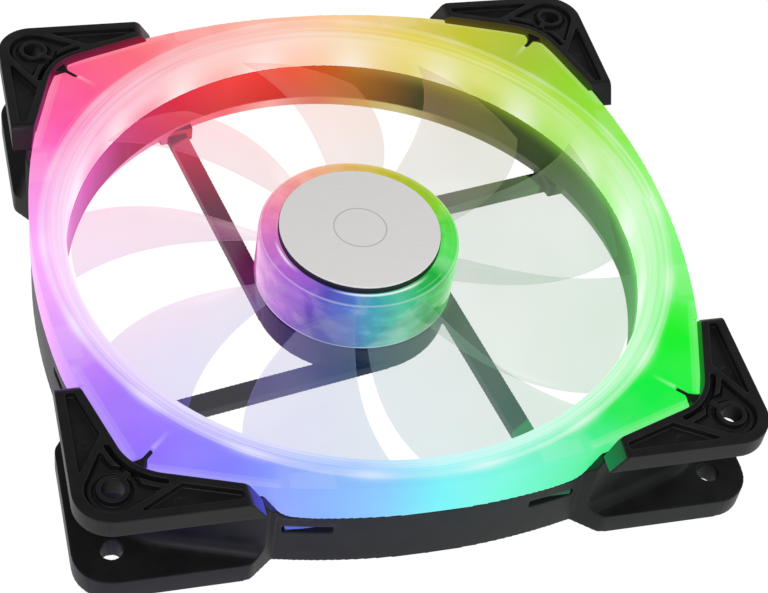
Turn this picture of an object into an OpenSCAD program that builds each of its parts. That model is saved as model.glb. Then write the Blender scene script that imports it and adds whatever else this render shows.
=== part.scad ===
// 140 mm case fan with a lit front ring, clear impeller and four-arm motor mount.
// Origin: rotor axis at the rear mounting face. +Z points out of the front.

/* [Frame] */
// Overall width and height
fan_w = 140; // [139.4:0.1:140.4]
// Total depth from the rear face to the front of the corner pads
fan_t = 25; // [24.8:0.1:26]
// Distance between mounting hole centres
hole_pitch = 124.5; // [124.2:0.1:124.8]
// Mounting hole diameter
hole_d = 4.5; // [4.2:0.1:4.8]
// Air duct bore
bore_d = 124.8; // [124.4:0.1:125]
// Thickness of the rear corner flanges
flange_t = 5.25; // [4.5:0.05:6]
// Bulge radius of the four long sides
side_r = 142; // [140:1:146]
// Half width across the middle of the long sides
side_apex = 69.4; // [69:0.1:69.6]
// Corner radius of flanges and pads
corner_r = 7.75; // [7:0.05:8.2]
// Height of the joint between the black duct and the lit ring
seam_z = 14.4; // [14:0.1:15]

/* [Motor mount] */
// Outer radius of the motor cup
cup_r = 21.6; // [21.2:0.1:21.8]
// Height of the motor cup rim
cup_h = 7.4; // [6.8:0.1:7.6]
// Width of each arm
arm_w = 4.6; // [4.2:0.1:5]
// Height of each arm
arm_h = 2.6; // [2.2:0.1:3]

/* [Light ring] */
// Height of the lit ring's front face
ring_z = 24; // [23.6:0.1:24.4]
// Number of light emitters under the ring
ring_led_count = 18; // [12:1:20]

/* [Corner pads] */
// Thickness of each corner pad
pad_t = 4.5; // [4.2:0.1:4.8]
// Depth of the moulded pockets in each pad
pocket_d = 1.5; // [1.2:0.1:2]
// Depth of the curved slot in each pad
slot_d = 2.4; // [1.8:0.1:3]

/* [Impeller] */
// Number of blades
blade_count = 9; // [7:1:11]
// Blade tip radius
tip_r = 61.3; // [60.5:0.1:61.5]
// Outer radius of the hub shell
hub_r = 21.9; // [21.7:0.1:22.2]
// Lower edge of the hub shell
hub_z0 = 8.2; // [8:0.1:8.6]
// Front of the hub shell
hub_z1 = 21.5; // [21.2:0.1:21.8]
// Blade thickness at mid chord
blade_t = 1.5; // [1.2:0.1:1.8]

/* [Motor] */
// Shaft radius
shaft_r = 1.5; // [1.4:0.05:1.6]
// Radial running clearance of the sleeve bearing
run_gap = 0.04; // [0.02:0.01:0.08]
// Number of stator poles
pole_count = 4; // [4:1:4]
// Number of emitters under the hub shell
hub_led_count = 4; // [4:1:6]

/* [Hidden] */
$fn = 96;

hp = hole_pitch / 2;
hw = fan_w / 2;
bore_r = bore_d / 2;
pad_z = fan_t - pad_t;
// inner edge of the corner pads: a line at distance core_d, tilted by core_a
core_a = 17.82;
core_d = 73.2;
core_r = 11.5;
// the arms of the corners end on a sloped face
slope_x0 = 30.3;
slope_k = 0.66;
// concave blend between the seam and a sloped end
blend_r = 5;
// fillet between a corner wall and its flange
foot_r = 2.9;
// tangent angle of the first arm and its inner edge offset
arm_a = 10.4;
arm_y = 17.1;
// light channel below the ring
chan_r0 = 63.8;
chan_r1 = 67.4;
chan_z = 9.9;
led_a0 = 18;

// ---- rounded polygons: each point is [x, y, radius]
function unit(a) = a / norm(a);
function corner_pts(a, b, c, n) =
    b[2] <= 0 ? [[b[0], b[1]]] :
    let (p = [b[0], b[1]], u = unit([a[0], a[1]] - p), v = unit([c[0], c[1]] - p),
         h = acos(u * v) / 2, q = p + u * b[2] / tan(h), s = p + v * b[2] / tan(h),
         o = p + unit(u + v) * b[2] / sin(h),
         a0 = atan2(q[1] - o[1], q[0] - o[0]), a1 = atan2(s[1] - o[1], s[0] - o[0]),
         d = a1 - a0 > 180 ? a1 - a0 - 360 : (a1 - a0 < -180 ? a1 - a0 + 360 : a1 - a0))
    [for (i = [0:n]) o + b[2] * [cos(a0 + d * i / n), sin(a0 + d * i / n)]];
function rounded(pts, n = 6) = let (m = len(pts))
    [for (i = [0:m - 1]) each corner_pts(pts[(i + m - 1) % m], pts[i], pts[(i + 1) % m], n)];

// ---- shared plan shapes
// area inside the corner pads, shrunk by o
function core_x(o) = (core_d - o) / cos(core_a);
function core_v(o) = (core_d - o) / (cos(core_a) + sin(core_a));
module core2d(o) {
    v = core_v(o);
    x = core_x(o);
    r = core_r - o;
    polygon(rounded([[x, 0, 0], [v, v, r], [0, x, 0], [-v, v, r],
                     [-x, 0, 0], [-v, -v, r], [0, -x, 0], [v, -v, r]], 10));
}
// bulged square of the duct body
module sides2d(apex) {
    intersection() {
        for_side(0, apex);
        for_side(1, apex);
        for_side(2, apex);
        for_side(3, apex);
    }
}
module for_side(k, apex) {
    rotate(90 * k) translate([0, apex - side_r]) circle(side_r, $fn = 360);
}
// first-quadrant plan of a rear flange
module flange2d() {
    polygon(rounded([[45, 45, 0], [30.4, 55, 0], [30.4, 65.2, 0], [36.4, hw, 3],
                     [hw, hw, corner_r], [hw, 36.4, 3], [65.2, 30.4, 0], [55, 30.4, 0]], 10));
}
// keep |x| and |y| beyond the sloped ends of a corner, first quadrant, grown by g
module corner_mask(g) {
    intersection() {
        corner_mask_half(g);
        mirror([1, -1, 0]) corner_mask_half(g);
    }
}
module corner_mask_half(g) {
    x0 = slope_x0 - g;
    t = fan_t + 0.02;
    translate([0, 90, 0]) rotate([90, 0, 0]) linear_extrude(90)
        polygon(rounded([[31.2 - g, -1, 0], [31.2 - g, 8, 0], [x0, seam_z, 0],
                         [x0 + slope_k * (t - seam_z), t, 2.2], [90, t, 0], [90, -1, 0]], 6));
}

// wedge that carries the seam up into the sloped ends, grown by g
module blend(g) {
    b = atan(1 / slope_k);
    xh = slope_x0 - blend_r * tan(b / 2);
    r = blend_r - g;
    ze = seam_z + blend_r - r * cos(b);
    for (s = [0, 1]) mirror([s, 0, 0]) difference() {
        translate([0, 80, 0]) rotate([90, 0, 0]) linear_extrude(16.2 + g)
            polygon(concat([[xh - 3, seam_z - 0.5], [xh - 3, seam_z]],
                [for (i = [0:6]) [xh + r * sin(b * i / 6), seam_z + blend_r - r * cos(b * i / 6)]],
                [[32.8 + g, ze], [32.8 + g, seam_z - 0.5]]));
        translate([20, 60, 10]) cube([10.2 - g, 5.8 - g, 12]);
    }
}

// ---- black duct with rear flanges, arms and motor cup
module frame_housing() {
    color([0.05, 0.05, 0.055]) union() {
        duct();
        motor_mount();
        for (k = [0:3]) rotate(90 * k) intersection() {
            blend(0);
            linear_extrude(30) sides2d(69.5);
        }
    }
}
module duct() {
    difference() {
        union() {
            linear_extrude(seam_z) sides2d(side_apex);
            for (k = [0:3]) rotate(90 * k) {
                linear_extrude(flange_t) flange2d();
                intersection() {
                    union() {
                        linear_extrude(pad_z) intersection() {
                            core2d(-1.2);
                            flange2d();
                        }
                        // flared foot where the corner wall meets the flange
                        foot();
                    }
                    corner_mask(0);
                }
            }
        }
        // air duct with a flared rear edge
        translate([0, 0, -1]) cylinder(r = bore_r, h = fan_t + 2, $fn = 180);
        translate([0, 0, -0.01]) cylinder(r1 = 64.7, r2 = bore_r - 0.05, h = 4.8, $fn = 180);
        // ring seat in the corners
        translate([0, 0, seam_z]) linear_extrude(20) core2d(1.75);
        // channel for the light board
        translate([0, 0, chan_z]) difference() {
            cylinder(r = chan_r1, h = 10);
            translate([0, 0, -1]) cylinder(r = chan_r0, h = 12);
        }
        // weight-saving hollows behind the corner walls
        for (k = [0:3]) rotate(90 * k) translate([0, 0, 7]) linear_extrude(10) difference() {
            intersection() {
                core2d(1.75);
                translate([33.5, 33.5]) square(40);
            }
            circle(69);
        }
        // mounting holes
        for (x = [-hp, hp]) for (y = [-hp, hp])
            translate([x, y, -1]) cylinder(d = hole_d, h = flange_t + 2, $fn = 48);
        // snap windows and their pockets
        for (k = [0:3]) rotate(90 * k) for (s = [-1, 1]) {
            translate([s * 25 - 4.9, 63.0, 8.6]) cube([9.8, 2.5, 10]);
            translate([s * 25 - 4.9, 64.0, 9.4]) cube([9.8, 8, 1.9]);
        }
        // lead exit notch and wire passage beside the first arm
        rotate(arm_a) {
            translate([61.1, 17.5, -1]) cube([2.6, 3.0, 12]);
            translate([61.1, 17.5, -1]) cube([14, 3.0, 3.4]);
        }
    }
}
// levels of the concave foot: [outward offset, height]
function foot_levels() = concat([[foot_r, flange_t - 0.4]],
    [for (i = [0:5]) [foot_r * (1 - sin(18 * i)), flange_t + foot_r * (1 - cos(18 * i))]]);
function foot_ring(o) = let (v = core_v(o), x = core_x(o))
    rounded([[x, 0, 0], [v, v, core_r - o], [0, x, 0], [0, 0, 0]], 10);
module foot() {
    lv = foot_levels();
    m = len(foot_ring(-1.2));
    n = len(lv);
    pts = [for (l = lv) each [for (q = foot_ring(-1.2 - l[0])) [q[0], q[1], l[1]]]];
    sides = [for (i = [0:n - 2]) for (j = [0:m - 1])
        [i * m + j, (i + 1) * m + j, (i + 1) * m + (j + 1) % m, i * m + (j + 1) % m]];
    intersection() {
        polyhedron(pts, concat([[for (j = [0:m - 1]) j]], sides, [[for (j = [0:m - 1]) n * m - 1 - j]]));
        linear_extrude(20) flange2d();
    }
}
module motor_mount() {
    difference() {
        union() {
            cylinder(r = cup_r, h = 1.8);
            difference() {
                cylinder(r = cup_r, h = cup_h);
                translate([0, 0, -1]) cylinder(r = cup_r - 1.4, h = cup_h + 2);
            }
            // ledge for the board
            difference() {
                cylinder(r = cup_r - 1.0, h = 3.4);
                translate([0, 0, -1]) cylinder(r = cup_r - 2.6, h = 6);
            }
            // socket for the bearing tube
            difference() {
                cylinder(r = 5.8, h = 3.2);
                translate([0, 0, 1.8]) cylinder(r = 4.2, h = 4);
            }
            // arms with a wider foot on the duct wall
            difference() {
                intersection() {
                    union() for (k = [0:3]) rotate(arm_a + 90 * k) {
                        translate([0, arm_y, 0]) cube([66, arm_w, arm_h]);
                        translate([59.0, arm_y - 1.7, 0]) cube([6.4, arm_w + 3.4, arm_h + 1]);
                    }
                    linear_extrude(20) sides2d(64.5);
                }
                translate([0, 0, -1]) cylinder(r = cup_r - 0.5, h = 10);
            }
        }
        // label recess
        translate([0, 0, -1]) cylinder(r = 17.8, h = 1.3);
        // wire channel along the first arm, with a window into the cup
        rotate(arm_a) {
            translate([2.2, 17.5, -1]) cube([62, 3.0, 2.4]);
            translate([2.2, 17.5, -1]) cube([3.2, 3.0, 6]);
            translate([61.1, 17.5, -1]) cube([2.6, 3.0, 12]);
        }
    }
}
// ---- lit diffuser ring
module light_ring() {
    color([0.75, 0.85, 1.0, 0.8]) difference() {
        union() {
            intersection() {
                translate([0, 0, seam_z]) linear_extrude(ring_z - seam_z) union() {
                    core2d(2.0);
                }
                linear_extrude(40) sides2d(69.6);
            }
            // skirts that reach the outside of the fan between the corners
            for (k = [0:3]) rotate(90 * k) intersection() {
                translate([0, 0, seam_z]) linear_extrude(ring_z - seam_z) sides2d(69.6);
                skirt();
            }
            // sloped border next to the pads
            intersection() {
                hull() {
                    translate([0, 0, pad_z + 0.3]) linear_extrude(ring_z - pad_z - 1.3) core2d(0.3);
                    translate([0, 0, ring_z - 0.01]) linear_extrude(0.01) core2d(2.0);
                }
                linear_extrude(40) sides2d(69.6);
                union() for (k = [0:3]) rotate(90 * k) translate([32, 32, 0]) cube([60, 60, 30]);
            }
            // snap hooks
            for (k = [0:3]) rotate(90 * k) for (s = [-1, 1]) {
                translate([s * 25 - 4.4, 63.3, 9.2]) cube([8.8, 1.9, seam_z - 9.0]);
                translate([s * 25 - 4.4, 64.3, 9.7]) cube([8.8, 2.0, 1.3]);
            }
        }
        ring_bore();
        // hollow over the light board
        translate([0, 0, 9]) difference() {
            cylinder(r = chan_r1 - 0.1, h = 12.6);
            translate([0, 0, -1]) cylinder(r = chan_r0 + 0.2, h = 30);
        }
        // hollows in the corners
        for (k = [0:3]) rotate(90 * k) translate([0, 0, seam_z - 1]) linear_extrude(8.4) difference() {
            intersection() {
                core2d(3.9);
                translate([32.5, 32.5]) square(40);
            }
            circle(68.8);
        }
        // tapered slit for the locating tongue of each pad
        for (k = [0:3]) rotate(45 + 90 * k) translate([0, 0, pad_z - 1]) linear_extrude(20)
            polygon([[75.5, -0.55], [78.2, -0.65], [79.2, -1.5], [81, -2.7], [86, -6],
                     [86, 6], [81, 2.7], [79.2, 1.5], [78.2, 0.65], [75.5, 0.55]]);
        // room for the blends of the black frame
        for (k = [0:3]) rotate(90 * k) blend(0.25);
    }
}
module skirt() {
    x0 = slope_x0 - 0.35;
    x1 = x0 + slope_k * (ring_z - seam_z);
    translate([0, 80, 0]) rotate([90, 0, 0]) linear_extrude(30)
        polygon([[-x0, seam_z], [x0, seam_z], [x1, ring_z], [-x1, ring_z]]);
}
// bore of the ring with a rounded lip and a shallow step
module ring_bore() {
    rotate_extrude($fn = 180) polygon(concat(
        [[0, 8], [bore_r, 8]],
        [for (i = [0:8]) [bore_r + 1.5 - 1.5 * cos(90 * i / 8), ring_z - 2.0 + 1.5 * sin(90 * i / 8)]],
        [[65.1, ring_z - 0.5], [65.5, ring_z + 0.1], [65.5, ring_z + 1], [0, ring_z + 1]]));
}

// ---- corner pads
module pad2d() {
    v = core_v(0);
    polygon(rounded([[32, (core_d - 32 * sin(core_a)) / cos(core_a), 0], [v, v, core_r],
                     [(core_d - 32 * sin(core_a)) / cos(core_a), 32, 0], [hw, 32, 0],
                     [hw, hw, corner_r], [32, hw, 0]], 12));
}
module pad() {
    difference() {
        union() {
            intersection() {
                translate([0, 0, pad_z]) linear_extrude(pad_t) pad2d();
                corner_mask(0);
            }
            // tongue that locates the ring
            rotate(45) translate([0, 0, pad_z]) linear_extrude(ring_z - pad_z - 0.2)
                polygon([[75.9, -0.35], [78.4, -0.4], [79.6, -1.0], [81.4, -2.3],
                         [81.4, 2.3], [79.6, 1.0], [78.4, 0.4], [75.9, 0.35]]);
        }
        translate([hp, hp, pad_z - 1]) cylinder(d = hole_d, h = pad_t + 2, $fn = 48);
        translate([0, 0, fan_t - pocket_d]) linear_extrude(pocket_d + 1) {
            arm_pocket2d();
            mirror([1, -1]) arm_pocket2d();
            boss_outline2d();
        }
        // shallow field round the screw boss
        translate([0, 0, fan_t - 0.8]) linear_extrude(2) difference() {
            boss_pocket2d(0);
            boss_land2d();
        }
        translate([0, 0, fan_t - slot_d]) linear_extrude(slot_d + 1) groove2d();
        // ejector pin marks
        for (q = [[50.4, 66.0], [66.0, 50.4]])
            translate([q[0], q[1], fan_t - pocket_d - 0.15]) cylinder(r = 1.05, h = 1, $fn = 32);
    }
}
module arm_pocket2d() {
    polygon(rounded([[38.5, 68.0, 0.5], [38.5, 66.3, 0.4], [49.4, 62.85, 0.4], [58.4, 68.0, 0.3]], 5));
}
// field round the boss, shrunk by o
module boss_pocket2d(o) {
    v = core_v(-3.4 - o);
    polygon(rounded([[53.0 + 2.59 * o, 63.4 + 0.22 * o, 0.3], [60.2 + 0.39 * o, 67.15 - 0.92 * o, 0], [hp, hp, 0],
                     [67.15 - 0.92 * o, 60.2 + 0.39 * o, 0], [63.4 + 0.22 * o, 53.0 + 2.59 * o, 0.3],
                     [v, v, core_r + 3.4 + o]], 8));
    translate([hp, hp]) circle(5.3 - o);
}
// screw boss and the web behind it stay at full height
module boss_land2d() {
    translate([hp, hp]) circle(3.15);
    rotate(45) translate([80, -0.6]) square([8, 1.2]);
}
// narrow moat along the field's edge and round the boss
module boss_outline2d() {
    difference() {
        union() {
            difference() {
                boss_pocket2d(0);
                boss_pocket2d(0.5);
            }
            translate([hp, hp]) circle(3.9);
        }
        boss_land2d();
    }
}
// curved slot that follows the inner edge
module groove2d() {
    intersection() {
        difference() {
            core2d(-2.35);
            core2d(-1.2);
        }
        translate([51.8, 51.8]) square(20);
    }
}
module pad_rear_right() { color([0.06, 0.06, 0.065]) pad(); }
module pad_rear_left() { color([0.06, 0.06, 0.065]) rotate(90) pad(); }
module pad_front_left() { color([0.06, 0.06, 0.065]) rotate(180) pad(); }
module pad_front_right() { color([0.06, 0.06, 0.065]) rotate(270) pad(); }

// ---- light board and emitters
module ring_board() {
    color([0.85, 0.87, 0.85]) translate([0, 0, chan_z]) difference() {
        cylinder(r = chan_r1 - 0.2, h = 1.0);
        translate([0, 0, -1]) cylinder(r = chan_r0 + 0.25, h = 3);
    }
}
module ring_emitters() {
    color("white") for (i = [0:ring_led_count - 1])
        rotate(led_a0 + i * 360 / ring_led_count) translate([65.6 - 1.3, -1.6, chan_z + 1.0]) cube([2.6, 3.2, 1.5]);
}

// ---- impeller: clear hub shell and blades
module impeller() {
    color([0.85, 0.9, 0.95, 0.35]) {
        rotate_extrude($fn = 120) polygon(concat(
            [[0, hub_z1 - 1.9], [20.4, hub_z1 - 1.9], [20.4, hub_z0], [hub_r, hub_z0]],
            [for (i = [0:6]) [hub_r - 1.35 + 1.15 * cos(90 * i / 6), hub_z1 - 1.45 + 1.15 * sin(90 * i / 6)]],
            [[18.5, hub_z1], [18.0, hub_z1], [18.0, hub_z1 - 0.6], [0, hub_z1 - 0.6]]));
        for (i = [0:blade_count - 1]) rotate(i * 360 / blade_count) blade();
    }
}
// blade surface: s runs from root (0) to tip (1), c from trailing (0) to leading edge (1)
blade_ns = 8;
blade_nc = 9;
function bl_r(s) = 21.3 + (tip_r - 21.3) * s;
function bl_mid(s) = 14 * s * s - 4 * s;
function bl_arc(s) = 31 - 4.5 * s * s;
function bl_z0(s) = 9.3 + 0.3 * s;
function bl_z1(s) = 20.0 + 0.6 * s - 1.6 * s * s;
function bl_th(s, c) = blade_t * (1 - 0.35 * s) * (0.42 + 0.58 * sqrt(max(0, sin(180 * (0.06 + 0.88 * c)))));
function bl_pt(s, c, side) =
    let (a = bl_mid(s) + bl_arc(s) * (c - 0.5),
         z = bl_z0(s) + (bl_z1(s) - bl_z0(s)) * (c + 0.10 * sin(180 * c)),
         r = bl_r(s), t = bl_th(s, c) / 2 * side)
    [r * cos(a), r * sin(a), z + t];
module blade() {
    ns = blade_ns;
    nc = blade_nc;
    m = (ns + 1) * (nc + 1);
    up = [for (i = [0:ns]) for (j = [0:nc]) bl_pt(i / ns, j / nc, 1)];
    dn = [for (i = [0:ns]) for (j = [0:nc]) bl_pt(i / ns, j / nc, -1)];
    w = nc + 1;
    top = [for (i = [0:ns - 1]) for (j = [0:nc - 1]) each
        [[i * w + j, (i + 1) * w + j + 1, (i + 1) * w + j], [i * w + j, i * w + j + 1, (i + 1) * w + j + 1]]];
    bot = [for (i = [0:ns - 1]) for (j = [0:nc - 1]) each
        [[m + i * w + j, m + (i + 1) * w + j, m + (i + 1) * w + j + 1],
         [m + i * w + j, m + (i + 1) * w + j + 1, m + i * w + j + 1]]];
    e0 = [for (i = [0:ns - 1]) each
        [[i * w, (i + 1) * w, m + (i + 1) * w], [i * w, m + (i + 1) * w, m + i * w]]];
    e1 = [for (i = [0:ns - 1]) each
        [[i * w + nc, m + (i + 1) * w + nc, (i + 1) * w + nc], [i * w + nc, m + i * w + nc, m + (i + 1) * w + nc]]];
    r0 = [for (j = [0:nc - 1]) each
        [[j, m + j, m + j + 1], [j, m + j + 1, j + 1]]];
    r1 = [for (j = [0:nc - 1]) each
        [[ns * w + j, m + ns * w + j + 1, m + ns * w + j], [ns * w + j, ns * w + j + 1, m + ns * w + j + 1]]];
    polyhedron(concat(up, dn), concat(top, bot, e0, e1, r0, r1));
}

module hub_disc_pad() {
    color([0.04, 0.04, 0.04]) translate([0, 0, hub_z1 - 0.6]) cylinder(r = 17.65, h = 1.5);
}
module hub_disc() {
    color([0.85, 0.85, 0.84]) rotate_extrude($fn = 120) polygon([
        [0, hub_z1 + 0.9], [17.5, hub_z1 + 0.9], [17.5, hub_z1 + 1.15], [17.35, hub_z1 + 1.3], [0, hub_z1 + 1.3]]);
}

// ---- rotor core
module rotor_yoke() {
    color([0.6, 0.6, 0.62]) difference() {
        translate([0, 0, 7.0]) cylinder(r = 18.6, h = hub_z1 - 1.9 - 7.0);
        translate([0, 0, 6.0]) cylinder(r = 17.6, h = hub_z1 - 1.9 - 7.0);
        cylinder(r = 3.2, h = 30, $fn = 48);
    }
}
module ring_magnet() {
    color([0.2, 0.2, 0.2]) translate([0, 0, 7.4]) difference() {
        cylinder(r = 17.6, h = 9.4);
        translate([0, 0, -1]) cylinder(r = 15.9, h = 12);
    }
}
module shaft_boss() {
    color([0.8, 0.65, 0.3]) translate([0, 0, 16.2]) difference() {
        cylinder(r = 3.2, h = hub_z1 - 1.9 - 16.2, $fn = 48);
        translate([0, 0, -1]) cylinder(r = shaft_r, h = 10, $fn = 48);
    }
}
module shaft() {
    color([0.75, 0.75, 0.78]) rotate_extrude($fn = 48) polygon([
        [0, 2.25], [shaft_r - 0.5, 2.25], [shaft_r - 0.1, 2.55], [shaft_r - 0.1, 2.8], [1.15, 2.8], [1.15, 3.3],
        [shaft_r, 3.3], [shaft_r, hub_z1 - 2.3], [shaft_r - 0.2, hub_z1 - 2.1], [0, hub_z1 - 2.1]]);
}

// ---- bearing
module thrust_pad() {
    color([0.9, 0.9, 0.85]) translate([0, 0, 1.8]) cylinder(r = 3.2, h = 0.42, $fn = 48);
}
module retaining_clip() {
    color([0.92, 0.92, 0.9]) translate([0, 0, 2.9]) difference() {
        cylinder(r = 3.15, h = 0.3, $fn = 48);
        translate([0, 0, -1]) cylinder(r = 1.25, h = 3, $fn = 48);
    }
}
module bearing_sleeve() {
    color([0.72, 0.5, 0.25]) translate([0, 0, 3.4]) difference() {
        cylinder(r = 3.2, h = 11.2, $fn = 64);
        translate([0, 0, -1]) cylinder(r = shaft_r + run_gap, h = 14, $fn = 64);
    }
}
module bearing_tube() {
    color([0.85, 0.7, 0.35]) translate([0, 0, 1.8]) difference() {
        cylinder(r = 4.2, h = 13.4, $fn = 64);
        translate([0, 0, -1]) cylinder(r = 3.2, h = 16, $fn = 64);
    }
}
module oil_seal() {
    color([0.15, 0.15, 0.15]) translate([0, 0, 14.7]) difference() {
        cylinder(r = 3.15, h = 0.3, $fn = 48);
        translate([0, 0, -1]) cylinder(r = 1.8, h = 3, $fn = 48);
    }
}

// ---- stator
module pole2d(neck, shoe_r0, shoe_r1, half_a, hub_o) {
    difference() {
        union() {
            circle(hub_o);
            for (k = [0:pole_count - 1]) rotate(k * 360 / pole_count) {
                translate([0, -neck / 2]) square([shoe_r0 + 0.6, neck]);
                intersection() {
                    difference() {
                        circle(shoe_r1);
                        circle(shoe_r0);
                    }
                    polygon([[0, 0], [24 * cos(half_a), 24 * sin(half_a)], [30, 0], [24 * cos(half_a), -24 * sin(half_a)]]);
                }
            }
        }
        circle(4.2);
    }
}
module stator_core() {
    color([0.45, 0.46, 0.48]) translate([0, 0, 7.8]) linear_extrude(5.2) pole2d(4.2, 13.0, 15.4, 38, 7.4);
}
module insulator_upper() {
    color([0.9, 0.9, 0.86]) {
        translate([0, 0, 13.0]) linear_extrude(0.9) pole2d(5.2, 13.0, 14.8, 34, 7.6);
        translate([0, 0, 13.0]) linear_extrude(2.4) pole_walls2d();
    }
}
module insulator_lower() {
    color([0.9, 0.9, 0.86]) {
        translate([0, 0, 6.9]) linear_extrude(0.9) pole2d(5.2, 13.0, 14.8, 34, 7.6);
        translate([0, 0, 5.6]) linear_extrude(2.2) pole_walls2d();
    }
}
module pole_walls2d() {
    for (k = [0:pole_count - 1]) rotate(k * 360 / pole_count) intersection() {
        difference() {
            circle(14.0);
            circle(13.0);
        }
        polygon([[0, 0], [24, 11], [24, -11]]);
    }
}
// one wound coil per pole, with rounded corners
module coils() {
    color([0.72, 0.36, 0.16]) for (k = [0:pole_count - 1]) rotate(k * 360 / pole_count)
        translate([8.0, 0, 10.4]) rotate([90, 0, 90]) linear_extrude(3.8) difference() {
            polygon(rounded([[-4.6, -4.9, 2], [4.6, -4.9, 2], [4.6, 4.9, 2], [-4.6, 4.9, 2]], 6));
            square([5.2, 7.0], center = true);
        }
}

// ---- motor board and its parts
module motor_board() {
    color([0.08, 0.25, 0.12]) translate([0, 0, 3.4]) difference() {
        cylinder(r = cup_r - 1.5, h = 1.2);
        translate([0, 0, -1]) cylinder(r = 4.3, h = 4, $fn = 48);
    }
}
module driver_chip() {
    color([0.05, 0.05, 0.05]) rotate(45) {
        translate([12.2, -2.5, 4.6]) cube([4, 5, 1.3]);
        for (i = [-1.9, -0.65, 0.6, 1.85]) translate([11.4, i - 0.2, 4.6]) cube([5.6, 0.4, 0.35]);
    }
}
module hall_sensor() {
    color([0.07, 0.07, 0.07]) rotate(135) translate([15.2, -1.5, 4.6]) cube([1.6, 3.0, 1.4]);
}
module board_parts() {
    color([0.6, 0.5, 0.35]) {
        rotate(225) translate([13.4, -1.6, 4.6]) cube([1.6, 3.2, 1.0]);
        rotate(232) translate([16.2, -0.8, 4.6]) cube([1.0, 2.0, 0.8]);
        rotate(218) translate([16.2, -0.9, 4.6]) cube([1.0, 2.0, 0.8]);
        rotate(315) translate([13.0, -2.0, 4.6]) cube([2.2, 1.4, 0.9]);
        rotate(315) translate([13.0, 0.6, 4.6]) cube([2.2, 1.4, 0.9]);
    }
}
module hub_emitters() {
    color("white") for (i = [0:hub_led_count - 1]) rotate(i * 360 / hub_led_count)
        translate([17.9, -1.6, 4.6]) cube([1.9, 3.2, 1.4]);
}

// ---- three thin wires laid in the first arm, from the motor board to the light board
module link_wires() {
    color([0.1, 0.1, 0.1]) rotate(arm_a) for (i = [0:2]) {
        y = 18.1 + 0.9 * i;
        translate([3.0 + 0.6, y, 0.85]) rotate([0, 90, 0]) cylinder(r = 0.43, h = 58.8, $fn = 24);
        translate([3.6, y, 0.85]) cylinder(r = 0.43, h = 2.55, $fn = 24);
        translate([62.4, y, 0.85]) cylinder(r = 0.43, h = chan_z - 0.85, $fn = 24);
        translate([3.6, y, 0.85]) sphere(r = 0.43, $fn = 24);
        translate([62.4, y, 0.85]) sphere(r = 0.43, $fn = 24);
    }
}
module rear_label() {
    color([0.8, 0.8, 0.8]) translate([0, 0, 0.1]) cylinder(r = 17.3, h = 0.2);
}

frame_housing();
light_ring();
pad_front_left();
pad_front_right();
pad_rear_right();
pad_rear_left();
ring_board();
ring_emitters();
impeller();
hub_disc();
hub_disc_pad();
rotor_yoke();
ring_magnet();
shaft_boss();
shaft();
thrust_pad();
retaining_clip();
bearing_sleeve();
bearing_tube();
oil_seal();
stator_core();
insulator_upper();
insulator_lower();
coils();
motor_board();
driver_chip();
hall_sensor();
board_parts();
hub_emitters();
link_wires();
rear_label();
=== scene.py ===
import math

import bmesh
import bpy
from mathutils import Matrix, Vector


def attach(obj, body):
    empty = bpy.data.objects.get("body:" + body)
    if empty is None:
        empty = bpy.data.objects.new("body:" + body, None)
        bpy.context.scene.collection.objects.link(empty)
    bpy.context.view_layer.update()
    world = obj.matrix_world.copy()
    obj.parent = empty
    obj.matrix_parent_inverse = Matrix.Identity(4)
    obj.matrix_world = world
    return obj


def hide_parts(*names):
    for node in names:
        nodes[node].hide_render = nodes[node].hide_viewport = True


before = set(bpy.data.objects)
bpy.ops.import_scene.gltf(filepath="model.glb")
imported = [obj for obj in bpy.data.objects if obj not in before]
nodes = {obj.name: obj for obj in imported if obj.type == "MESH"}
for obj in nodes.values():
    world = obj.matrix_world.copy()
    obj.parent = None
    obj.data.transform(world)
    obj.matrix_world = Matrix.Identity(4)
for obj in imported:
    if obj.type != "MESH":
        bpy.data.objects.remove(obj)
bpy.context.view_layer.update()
MM = 0.001
sc = bpy.context.scene


def lin(r, g, b):
    """A 0-255 display colour as the linear colour that the shaders use."""
    out = []
    for v in (r, g, b):
        v = v / 255.0
        out.append(v / 12.92 if v <= 0.04045 else ((v + 0.055) / 1.055) ** 2.4)
    return tuple(out)


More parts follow.
